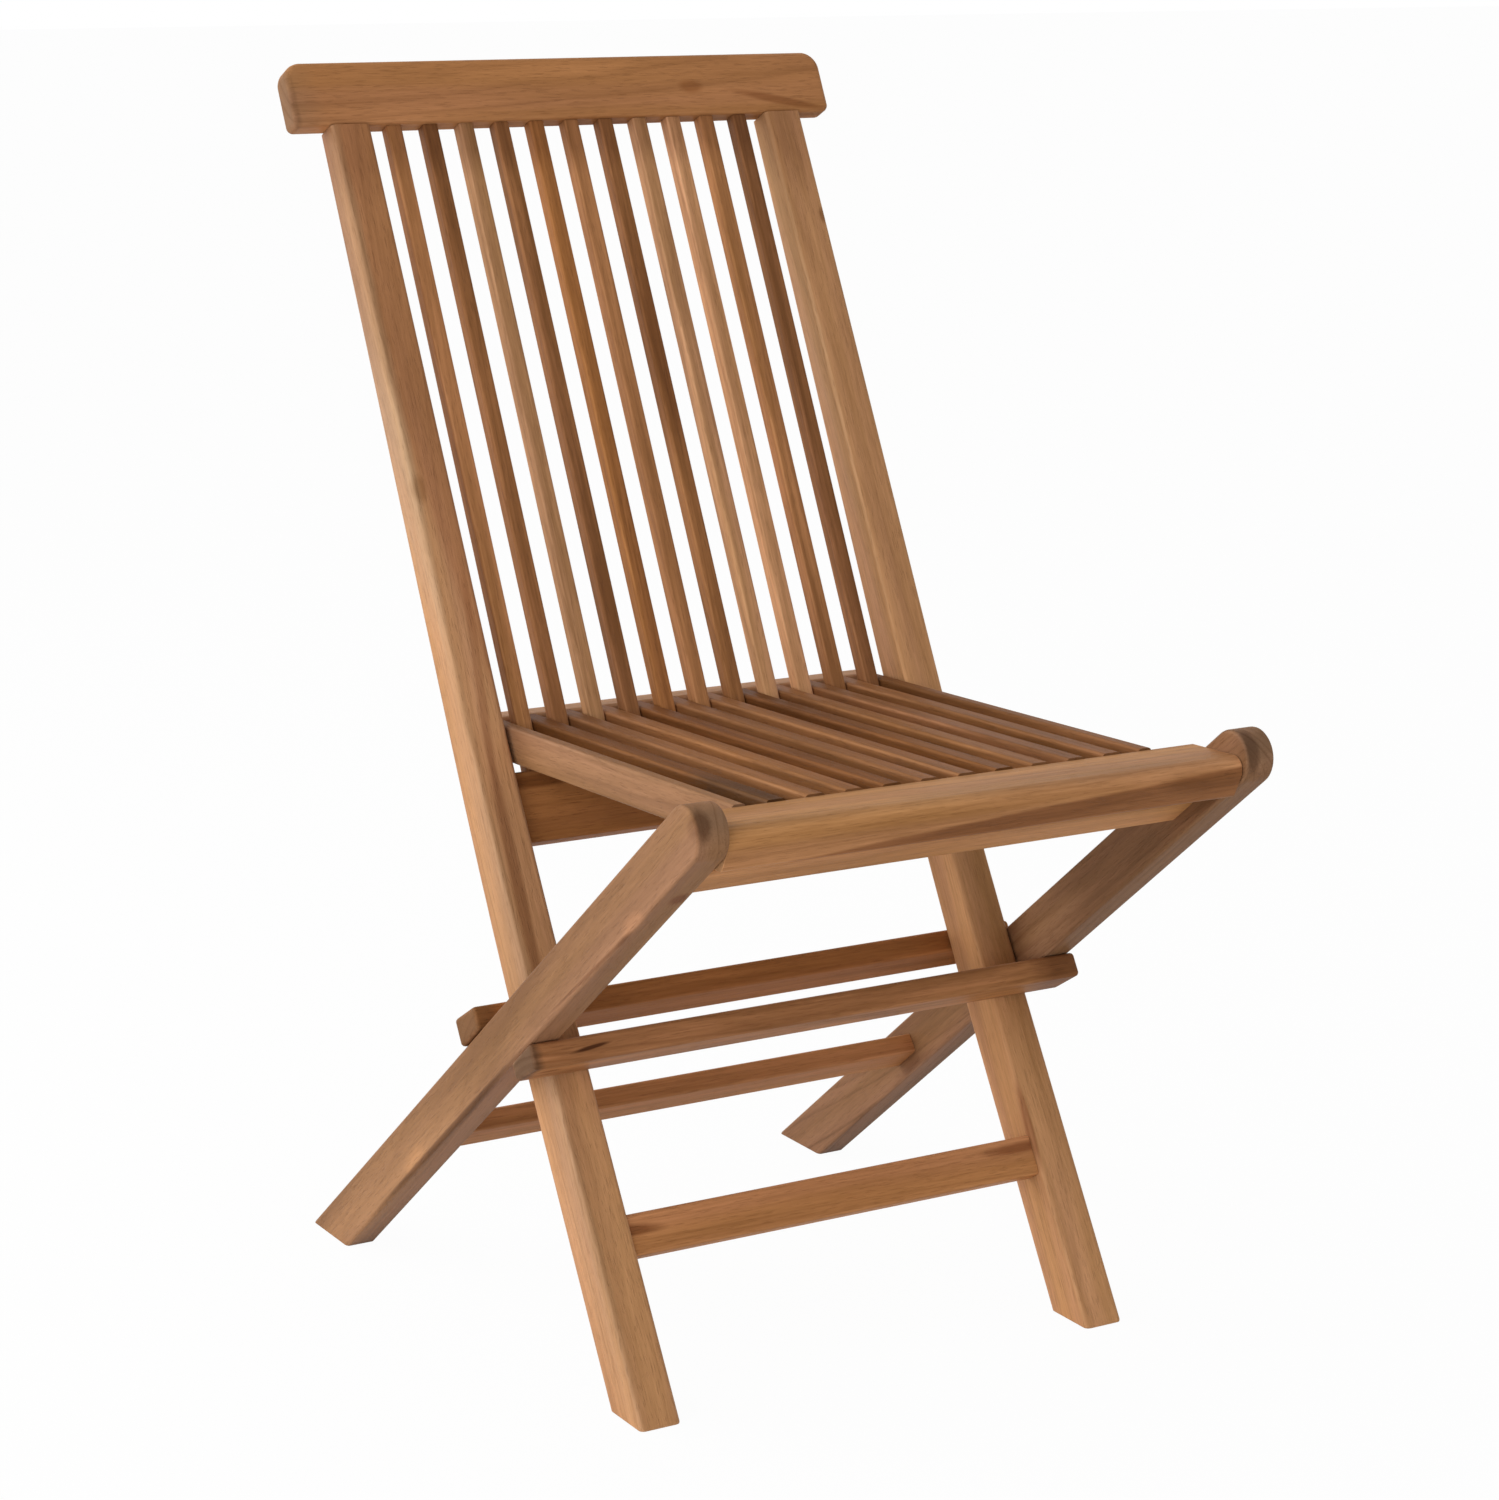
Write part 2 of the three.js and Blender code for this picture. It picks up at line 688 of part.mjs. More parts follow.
for (const stave of staves) {
  const section = roundedRectangle(
    at(stave.place - stave.width / 2, seatTopAbovePivot - stave.height),
    at(stave.place + stave.width / 2, seatTopAbovePivot),
    stave.edges,
  );
  const bar = alongDepth(section, seatStaveFront, seatStaveRear, 0);
  const core = block(...staveCore(stave.place, stave.tenon, slatTenonMiddle));
  addPiece(seatFrame, stave.name, assembled(bar, [core], []), stave.color);
}

const staveMortises = staves.map(({ place, tenon }) =>
  loosened(...staveCore(place, tenon, slatTenonMiddle)),
);

// Seat front rail, with the waterfall edge that a sitter's knees bend over
const frontRailTop = seatTopAbovePivot - frontRail.topBelowSlats;
const frontRailOutline = roundedOutline([
  [at(-frontRail.chinAhead, -frontRail.bottomBelowPivot), frontRail.chinRadius],
  [at(frontRail.behind, -frontRail.bottomBelowPivot), frontRail.rearRadius],
  [at(frontRail.behind, frontRailTop), frontRail.rearRadius],
  [at(-frontRail.ahead, frontRailTop), frontRail.waterfallRadius],
  [at(-frontRail.ahead, frontRail.noseHeight), frontRail.noseRadius],
]);
const seatPinHoles = sides.map(({ side }) =>
  roundBar(
    pin.radius + fitGap,
    side > 0 ? frontRailHalf - pin.depthInRail - fitGap : -frontRailHalf - cutOverrun,
    side > 0 ? frontRailHalf + cutOverrun : -frontRailHalf + pin.depthInRail + fitGap,
  ),
);
addPiece(
  seatFrame,
  "seat_front_rail",
  assembled(
    acrossChair(frontRailOutline, 0, 2 * frontRailHalf, frontRail.ease, cornerSteps * 2),
    [],
    [...staveMortises, ...seatPinHoles],
  ),
  teak.honey,
);

// Seat rear rail, which slides up behind the back slats as the chair folds
const rearRailOutline = roundedRectangle(
  at(rearRailFront, seatBottom),
  at(rearRailFront + rearRail.depth, seatTopAbovePivot),
  Array(4).fill(rearRail.edge),
);
addPiece(
  seatFrame,
  "seat_rear_rail",
  assembled(acrossChair(rearRailOutline, 0, 2 * sideRailOuter, 0), [], staveMortises),
  teak.brown,
);

// Pivot pins
const steel = { roughness: 0.35, metalness: 0.9 };
for (const { side, word } of sides) {
  const crossPin = [side * (postOuter - pin.depthInPost), side * (legInner + pin.depthInLeg)];
  const seatPin = [side * (frontRailHalf - pin.depthInRail), side * (legInner + pin.depthInLeg)];
  const crossBar = roundBar(pin.radius, Math.min(...crossPin), Math.max(...crossPin));
  const seatBar = roundBar(pin.radius, Math.min(...seatPin), Math.max(...seatPin), -seatPivotReach);
  addPiece(legFrame, "cross_pivot_pin_" + word, crossBar, teak.pin, steel);
  addPiece(legFrame, "seat_pivot_pin_" + word, seatBar, teak.pin, steel);
}

export default chair;
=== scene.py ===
import json
import math

import bpy
from mathutils import Euler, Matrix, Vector

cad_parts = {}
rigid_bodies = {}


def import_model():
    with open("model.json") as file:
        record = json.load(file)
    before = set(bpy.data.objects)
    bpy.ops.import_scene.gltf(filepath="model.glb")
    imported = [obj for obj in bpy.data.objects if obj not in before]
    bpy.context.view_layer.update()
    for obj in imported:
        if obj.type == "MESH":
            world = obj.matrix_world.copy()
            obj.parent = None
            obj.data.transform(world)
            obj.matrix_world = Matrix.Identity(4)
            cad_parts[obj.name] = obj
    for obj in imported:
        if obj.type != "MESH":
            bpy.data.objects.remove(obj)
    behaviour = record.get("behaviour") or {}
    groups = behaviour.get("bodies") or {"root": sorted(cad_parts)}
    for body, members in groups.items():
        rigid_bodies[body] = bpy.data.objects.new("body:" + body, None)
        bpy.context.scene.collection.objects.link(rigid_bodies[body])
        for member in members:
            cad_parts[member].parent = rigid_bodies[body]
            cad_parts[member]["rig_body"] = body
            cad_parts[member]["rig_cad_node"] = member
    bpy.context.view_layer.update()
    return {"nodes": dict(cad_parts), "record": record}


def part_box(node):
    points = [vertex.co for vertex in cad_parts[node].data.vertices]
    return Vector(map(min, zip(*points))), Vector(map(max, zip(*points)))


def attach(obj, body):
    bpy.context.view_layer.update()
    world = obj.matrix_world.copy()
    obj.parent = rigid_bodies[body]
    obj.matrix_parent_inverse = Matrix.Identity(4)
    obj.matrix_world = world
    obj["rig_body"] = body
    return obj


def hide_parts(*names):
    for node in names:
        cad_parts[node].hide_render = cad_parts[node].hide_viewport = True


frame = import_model()
print("frame loaded:", len(frame["nodes"]), "nodes")


# colours are written as sRGB, 0 to 255; sockets take linear values
def toLinear(tone):
    return [((c / 255 + 0.055) / 1.055) ** 2.4 for c in tone] + [1.0]


def mathStep(tree, operation, first, second=None, third=None, clamp=False):
    node = tree.nodes.new("ShaderNodeMath")
    node.operation = operation
    node.use_clamp = clamp
    for socket, value in zip(node.inputs, (first, second, third)):
        feed(tree, socket, value)
    return node.outputs[0]


def vectorStep(tree, operation, first, second=None, scale=None, output="Vector"):
    node = tree.nodes.new("ShaderNodeVectorMath")
    node.operation = operation
    feed(tree, node.inputs[0], first)
    feed(tree, node.inputs[1], second)
    if scale is not None:
        feed(tree, node.inputs["Scale"], scale)
    return node.outputs[output]


# in colour mode the node's sockets A, B and Result are numbers 6, 7 and 2
def mixStep(tree, amount, first, second, blend="MIX"):
    node = tree.nodes.new("ShaderNodeMix")
    node.data_type = "RGBA"
    node.blend_type = blend
    feed(tree, node.inputs["Factor"], amount)
    feed(tree, node.inputs[6], first)
    feed(tree, node.inputs[7], second)
    return node.outputs[2]


def rampStep(tree, amount, stops):
    node = tree.nodes.new("ShaderNodeValToRGB")
    while len(node.color_ramp.elements) < len(stops):
        node.color_ramp.elements.new(0.5)
    for element, (place, value) in zip(node.color_ramp.elements, stops):
        element.position = place
        element.color = (value, value, value, 1)
    feed(tree, node.inputs[0], amount)
    return node.outputs[0]


def maskStep(tree, amount, edges):
    return rampStep(tree, amount, [(edges[0], 0.0), (edges[1], 1.0)])


def noiseStep(tree, vector, seed, detail=2.0, roughness=0.5, output="Fac"):
    node = tree.nodes.new("ShaderNodeTexNoise")
    node.noise_dimensions = "4D"
    feed(tree, node.inputs["Vector"], vector)
    feed(tree, node.inputs["W"], seed)
    node.inputs["Scale"].default_value = 1.0
    node.inputs["Detail"].default_value = detail
    node.inputs["Roughness"].default_value = roughness
    return node.outputs[output]


def feed(tree, socket, value):
    if value is None:
        return
    if isinstance(value, bpy.types.NodeSocket):
        tree.links.new(value, socket)
    else:
        socket.default_value = value


def newGroup(name, inputs, outputs):
    group = bpy.data.node_groups.new(name, "ShaderNodeTree")
    for direction, sockets in (("INPUT", inputs), ("OUTPUT", outputs)):
        for label, kind in sockets.items():
            group.interface.new_socket(label, in_out=direction, socket_type="NodeSocket" + kind)
    entry = group.nodes.new("NodeGroupInput")
    leave = group.nodes.new("NodeGroupOutput")
    return group, entry.outputs, leave.inputs


# Teak as a solid pattern: X runs along the grain, the tree's heart lies along Y = Z = 0
# a name that ends in Waves is how many a noise has in a metre, along the grain and twice across it
# a name that ends in Edges is where a mask begins and where it is full
teakPattern = {
    "noiseMiddle": 0.5,
    "bendWaves": (2.6, 11, 11),
    "bendReach": (0, 0.022, 0.022),  # how far the rings are pushed aside, in metres
    "unevenWaves": 0.8,  # in each ring
    "unevenShare": 1.6,  # of a ring, by which its place varies
    "ringProfile": [(0.0, 0.62), (0.1, 0.08), (0.5, 0.12), (0.86, 0.7), (1.0, 1.0)],
    "ringStrength": (2.2, -0.55),  # some rings are strong and others faint
    "streakWaves": (7, 170, 170),
    "bandWaves": (2.6, 34, 34),
    "bandShare": 2.0,
    "warmthWaves": (1.9, 48, 48),
    "warmthEdges": (0.36, 0.64),
    "golden": (1.02, 1.0, 0.93, 1),
    "rosy": (1.01, 0.98, 1.04, 1),
    "fibreWaves": (26, 640, 640),
    "poreWaves": (90, 1300, 1300),
    "poreEdges": (0.58, 0.7),
    "poreShare": 0.3,
    "cutSharpness": 4.0,
    "cutShare": 0.8,
    "cutRingShare": 0.6,
    "rubbedEdges": (0.965, 0.82),  # by how squarely the surface faces, 1 on a flat face
    "rubbedPatches": (2.0, -0.3),  # the streaks make the rubbing patchy
    "rubbed": (1.35, 1.46, 1.66, 1),
    "roughness": 0.42,
    "fibreRoughness": 0.22,
    "cutRoughness": 0.14,
    "fibreHeight": 0.5,
    "ringHeight": -0.25,
    "poreHeight": -0.8,
}


def makeTeakGroup(pattern):
    group, given, put = newGroup(
        "teakFigure",
        {"Vector": "Vector", "Normal": "Vector", "Grain Axis": "Vector", "Face Axis": "Vector",
         "Seed": "Float", "Spacing": "Float", "Taper": "Float", "Light": "Color", "Dark": "Color",
         "Line": "Color", "Cut": "Color", "Figure": "Float", "Streak": "Float", "Fibre": "Float",
         "Wear": "Float"},
        {"Color": "Color", "Roughness": "Float", "Height": "Float"},
    )
    place, seed, middle = given["Vector"], given["Seed"], pattern["noiseMiddle"]

    def noise(vector, waves, detail, roughness=0.5, output="Fac"):
        vector = vectorStep(group, "MULTIPLY", vector, pattern[waves])
        return noiseStep(group, vector, seed, detail, roughness, output)

    def centred(value):
        return mathStep(group, "SUBTRACT", value, middle)

    # slow waves bend the rings along the board
    wave = noise(place, "bendWaves", 2, output="Color")
    wave = vectorStep(group, "SUBTRACT", wave, (middle, middle, middle))
    push = vectorStep(group, "MULTIPLY", wave, pattern["bendReach"])
    bent = vectorStep(group, "ADD", place, push)
    axes = group.nodes.new("ShaderNodeSeparateXYZ")
    feed(group, axes.inputs[0], bent)
    flat = vectorStep(group, "MULTIPLY", bent, (0, 1, 1))
    radius = vectorStep(group, "LENGTH", flat, output="Value")
    cone = mathStep(group, "MULTIPLY", axes.outputs["X"], given["Taper"])
    turn = mathStep(group, "DIVIDE", mathStep(group, "ADD", radius, cone), given["Spacing"])
    uneven = group.nodes.new("ShaderNodeTexNoise")
    uneven.noise_dimensions = "1D"
    uneven.inputs["Scale"].default_value = pattern["unevenWaves"]
    uneven.inputs["Detail"].default_value = 1
    feed(group, uneven.inputs["W"], mathStep(group, "ADD", turn, seed))
    turn = mathStep(group, "MULTIPLY_ADD", uneven.outputs["Fac"], pattern["unevenShare"], turn)
    ring = rampStep(group, mathStep(group, "FRACT", turn), pattern["ringProfile"])
    strength = mathStep(group, "MULTIPLY_ADD", uneven.outputs["Fac"], *pattern["ringStrength"],
                        clamp=True)
    ring = mathStep(group, "MULTIPLY", ring, strength)

    streak = noise(bent, "streakWaves", 4, 0.65)
    band = noise(bent, "bandWaves", 1)
    warmth = noise(bent, "warmthWaves", 1, output="Color")
    fibre = noise(place, "fibreWaves", 3, 0.6)
    pores = maskStep(group, noise(place, "poreWaves", 1), pattern["poreEdges"])

    # shares of light and dark wood
    tone = mathStep(group, "MULTIPLY", centred(streak), given["Streak"])
    tone = mathStep(group, "MULTIPLY_ADD", centred(band), pattern["bandShare"], tone)
    fine = mathStep(group, "MULTIPLY", centred(fibre), given["Fibre"])
    tone = mathStep(group, "ADD", mathStep(group, "ADD", tone, fine), middle, clamp=True)
    color = mixStep(group, tone, given["Dark"], given["Light"])
    lines = mathStep(group, "MULTIPLY", ring, given["Figure"])
    color = mixStep(group, lines, color, given["Line"])
    dots = mathStep(group, "MULTIPLY", pores, pattern["poreShare"])
    color = mixStep(group, dots, color, given["Line"])

    # some bands are more golden, others more rosy
    channels = group.nodes.new("ShaderNodeSeparateXYZ")
    feed(group, channels.inputs[0], warmth)
    rosy = maskStep(group, channels.outputs["Z"], pattern["warmthEdges"])
    tint = mixStep(group, rosy, pattern["golden"], pattern["rosy"])
    color = mixStep(group, 1.0, color, tint, "MULTIPLY")

    # cut ends are greyer, with the rings drawn dark
    facing = vectorStep(group, "DOT_PRODUCT", given["Normal"], given["Grain Axis"], output="Value")
    facing = mathStep(group, "ABSOLUTE", facing)
    cut = mathStep(group, "POWER", facing, pattern["cutSharpness"])
    cutRings = mathStep(group, "MULTIPLY", ring, pattern["cutRingShare"])
    sawn = mixStep(group, cutRings, given["Cut"], given["Line"])
    color = mixStep(group, mathStep(group, "MULTIPLY", cut, pattern["cutShare"]), color, sawn)

    # eased edges are rubbed pale
    third = vectorStep(group, "CROSS_PRODUCT", given["Grain Axis"], given["Face Axis"])
    for side in (given["Face Axis"], third):
        other = vectorStep(group, "DOT_PRODUCT", given["Normal"], side, output="Value")
        facing = mathStep(group, "MAXIMUM", facing, mathStep(group, "ABSOLUTE", other))
    begin, full = pattern["rubbedEdges"]
    edge = rampStep(group, facing, [(full, 1.0), (begin, 0.0)])
    patches = mathStep(group, "MULTIPLY_ADD", streak, *pattern["rubbedPatches"], clamp=True)
    edge = mathStep(group, "MULTIPLY", edge, patches)
    edge = mathStep(group, "MULTIPLY", edge, given["Wear"])
    color = mixStep(group, edge, color, pattern["rubbed"], "MULTIPLY")

    rough = mathStep(group, "MULTIPLY_ADD", fibre, pattern["fibreRoughness"], pattern["roughness"])
    rough = mathStep(group, "MULTIPLY_ADD", cut, pattern["cutRoughness"], rough)
    height = mathStep(group, "MULTIPLY", ring, pattern["ringHeight"])
    height = mathStep(group, "MULTIPLY_ADD", fibre, pattern["fibreHeight"], height)
    height = mathStep(group, "MULTIPLY_ADD", pores, pattern["poreHeight"], height)
    for label, value in (("Color", color), ("Roughness", rough), ("Height", height)):
        feed(group, put[label], value)
    return group


# One spot of another colour: a knot, a stain, a crack, the edge of the heartwood, or painted shade,
# shadow, sheen or light
spotPattern = {
    "noiseMiddle": (0.5, 0.5, 0.5),
    "raggedWaves": (22, 150, 150),  # in a metre, along the grain and twice across it
    "raggedDetail": 3,
}


def makeSpotGroup(pattern):
    group, given, put = newGroup(
        "woodSpot",
        {"Color": "Color", "Vector": "Vector", "Centre": "Vector", "Size": "Vector",
         "Slope": "Vector", "Left": "Color", "Soft": "Float", "Ragged": "Float", "Seed": "Float"},
        {"Color": "Color"},
    )
    ragged = vectorStep(group, "MULTIPLY", given["Vector"], pattern["raggedWaves"])
    ragged = noiseStep(group, ragged, given["Seed"], pattern["raggedDetail"], output="Color")
    ragged = vectorStep(group, "SUBTRACT", ragged, pattern["noiseMiddle"])
    ragged = vectorStep(group, "SCALE", ragged, scale=given["Ragged"])
    offset = vectorStep(group, "SUBTRACT", given["Vector"], given["Centre"])
    axes = group.nodes.new("ShaderNodeSeparateXYZ")
    feed(group, axes.inputs[0], offset)
    rise = vectorStep(group, "SCALE", given["Slope"], scale=axes.outputs["X"])
    offset = vectorStep(group, "DIVIDE", vectorStep(group, "SUBTRACT", offset, rise), given["Size"])
    reach = vectorStep(group, "LENGTH", vectorStep(group, "ADD", offset, ragged), output="Value")
    mask = mathStep(group, "SUBTRACT", 1.0, reach)
    mask = mathStep(group, "DIVIDE", mask, given["Soft"], clamp=True)
    feed(group, put["Color"], mixStep(group, mask, given["Color"], given["Left"], "MULTIPLY"))
    return group


teakGroup = makeTeakGroup(teakPattern)
spotGroup = makeSpotGroup(spotPattern)

# oiled teak, from the palest pieces to the darkest
tones = {
    "tan": (186, 138, 96),
    "honey": (182, 131, 85),
    "amber": (173, 120, 76),
    "orange": (163, 108, 62),
    "rosy": (145, 106, 74),
    "brown": (141, 95, 58),
    "dark": (120, 76, 40),
}
# early wood, late wood, lines and cut ends against the tone, in linear colour
toneShares = {
    "Light": (1.28, 1.3, 1.36),
    "Dark": (0.72, 0.69, 0.62),
    "Line": (0.46, 0.4, 0.33),
    "Cut": (0.85, 0.96, 1.15),
}

lean = 64.2  # of the back panel, from the horizontal, in degrees
rake = -38.1  # of the cross legs
dip = -1.7  # of the seat

# slope: the piece's slope in the side view, in degrees, which the grain follows
# across: the grain runs along X instead
# tone, shade: the piece's colour, and how much of it is taken
# heart: where the tree's heart lies from the piece's middle, in metres, across the grain
# spacing: from ring to ring, in metres
# figure, streak, fibre, wear: how strong the rings, streaks, fibres and rubbed edges are
# taper: how much the rings draw in for each metre along the grain
usualWood = {"across": False, "taper": 0.03, "fibre": 1.0, "wear": 0.5}
woods = {
    "back_post_left": {"slope": 62, "tone": "tan", "shade": 0.95, "heart": (0.05, 0.085),
                       "spacing": 0.0062, "figure": 0.3, "streak": 0.6, "seed": 3.1},
    "back_post_right": {"slope": 62, "tone": "tan", "shade": 1.06, "heart": (-0.03, 0.09),
                        "spacing": 0.007, "figure": 0.25, "streak": 0.6, "seed": 8.4},
    "crest_rail": {"slope": lean, "across": True, "tone": "amber", "shade": 0.99,
                   "heart": (0.05, -0.06), "spacing": 0.0085, "figure": 0.42, "streak": 0.6,
                   "seed": 5.5},
    "back_lower_rail": {"slope": lean, "across": True, "tone": "orange", "shade": 0.93,
                        "heart": (0.08, 0.02), "spacing": 0.008, "figure": 0.25, "streak": 1.0,
                        "seed": 12.0},
    "foot_stretcher": {"slope": 59, "across": True, "tone": "amber", "shade": 1.12,
                       "heart": (0.04, 0.05), "spacing": 0.006, "figure": 0.3, "streak": 0.7,
                       "seed": 14.2},
    "stop_rail_front": {"slope": 59, "across": True, "tone": "amber", "shade": 0.93,
                        "heart": (0.03, 0.05), "spacing": 0.006, "figure": 0.5, "streak": 2.6,
                        "seed": 16.8},
    "stop_rail_rear": {"slope": 59, "across": True, "tone": "orange", "shade": 1.06,
                       "heart": (0.05, 0.03), "spacing": 0.006, "figure": 0.4, "streak": 1.4,
                       "seed": 18.3},
    "cross_leg_left": {"slope": rake, "tone": "rosy", "shade": 1.03, "heart": (0.07, 0.02),
                       "spacing": 0.007, "figure": 0.3, "streak": 0.6, "wear": 0.15,
                       "seed": 21.7},
    "cross_leg_right": {"slope": rake, "tone": "rosy", "shade": 0.88, "heart": (0.06, -0.03),
                        "spacing": 0.006, "figure": 0.55, "streak": 1.0, "seed": 24.9},
    "leg_stretcher_upper": {"slope": rake, "across": True, "tone": "honey", "shade": 1.14,
                            "heart": (0.05, 0.04), "spacing": 0.007, "figure": 0.3,
                            "streak": 1.0, "seed": 27.3},
    "leg_stretcher_lower": {"slope": rake, "across": True, "tone": "amber", "shade": 1.03,
                            "heart": (0.05, 0.03), "spacing": 0.006, "figure": 0.3,
                            "streak": 1.0, "seed": 29.6},
    "seat_side_rail_left": {"slope": dip, "tone": "rosy", "shade": 1.04, "heart": (0.06, 0.06),
                            "spacing": 0.008, "figure": 0.3, "streak": 1.2, "seed": 31.2},
    "seat_side_rail_right": {"slope": dip, "tone": "brown", "shade": 0.95, "heart": (0.06, 0.03),
                             "spacing": 0.007, "figure": 0.3, "streak": 1.2, "seed": 33.9},
    "seat_front_rail": {"slope": 12, "across": True, "tone": "honey", "shade": 1.1,
                        "heart": (0.06, -0.06), "spacing": 0.008, "figure": 0.3, "streak": 1.0,
                        "seed": 36.4},
    "seat_rear_rail": {"slope": dip, "across": True, "tone": "tan", "shade": 1.15,
                       "heart": (0.04, 0.05), "spacing": 0.006, "figure": 0.3, "streak": 1.2,
                       "seed": 38.8},
}

# looks: tone and shade of each slat, from the sitter's right
# heart and spacing start at their first value and rise by a step, in turns of a few slats
slatSets = {
    "back_slat": {
        "looks": [("amber", 0.97), ("brown", 1.1), ("tan", 0.85), ("brown", 1.03),
                  ("orange", 0.93), ("amber", 0.87), ("brown", 1.1), ("tan", 0.93),
                  ("tan", 1.09), ("amber", 0.92), ("brown", 0.98)],
        "usual": {"slope": lean, "wear": 0.7, "figure": 0.4, "streak": 2.4},
        "heartY": {"first": 0.03, "step": 0.013, "turns": 4},
        "heartZ": {"first": 0.02, "step": 0.011, "turns": 3},
        "spacing": {"first": 0.005, "step": 0.0007, "turns": 4},
        "firstSeed": 50.0,
        "seedStep": 3.7,
    },
    "seat_slat": {
        "looks": [("dark", 0.88), ("brown", 0.92), ("brown", 1.08), ("dark", 1.12),
                  ("brown", 0.95), ("brown", 0.94), ("dark", 1.0), ("brown", 1.08),
                  ("brown", 0.97), ("brown", 1.02)],
        "usual": {"slope": dip, "wear": 1.0, "figure": 0.35, "streak": 2.3},
        "heartY": {"first": 0.03, "step": 0.011, "turns": 3},
        "heartZ": {"first": 0.03, "step": 0.009, "turns": 4},
        "spacing": {"first": 0.005, "step": 0.0006, "turns": 5},
        "firstSeed": 120.0,
        "seedStep": 4.3,
    },
}


def slatName(kind, index):
    return "%s_%02d" % (kind, index + 1)


def stepped(index, first, step, turns):
    return first + step * (index % turns)


for kind, slats in slatSets.items():
    for index, (tone, shade) in enumerate(slats["looks"]):
        woods[slatName(kind, index)] = {
            **slats["usual"], "tone": tone, "shade": shade,
            "heart": (stepped(index, **slats["heartY"]), stepped(index, **slats["heartZ"])),
            "spacing": stepped(index, **slats["spacing"]),
            "seed": slats["firstSeed"] + slats["seedStep"] * index,
        }
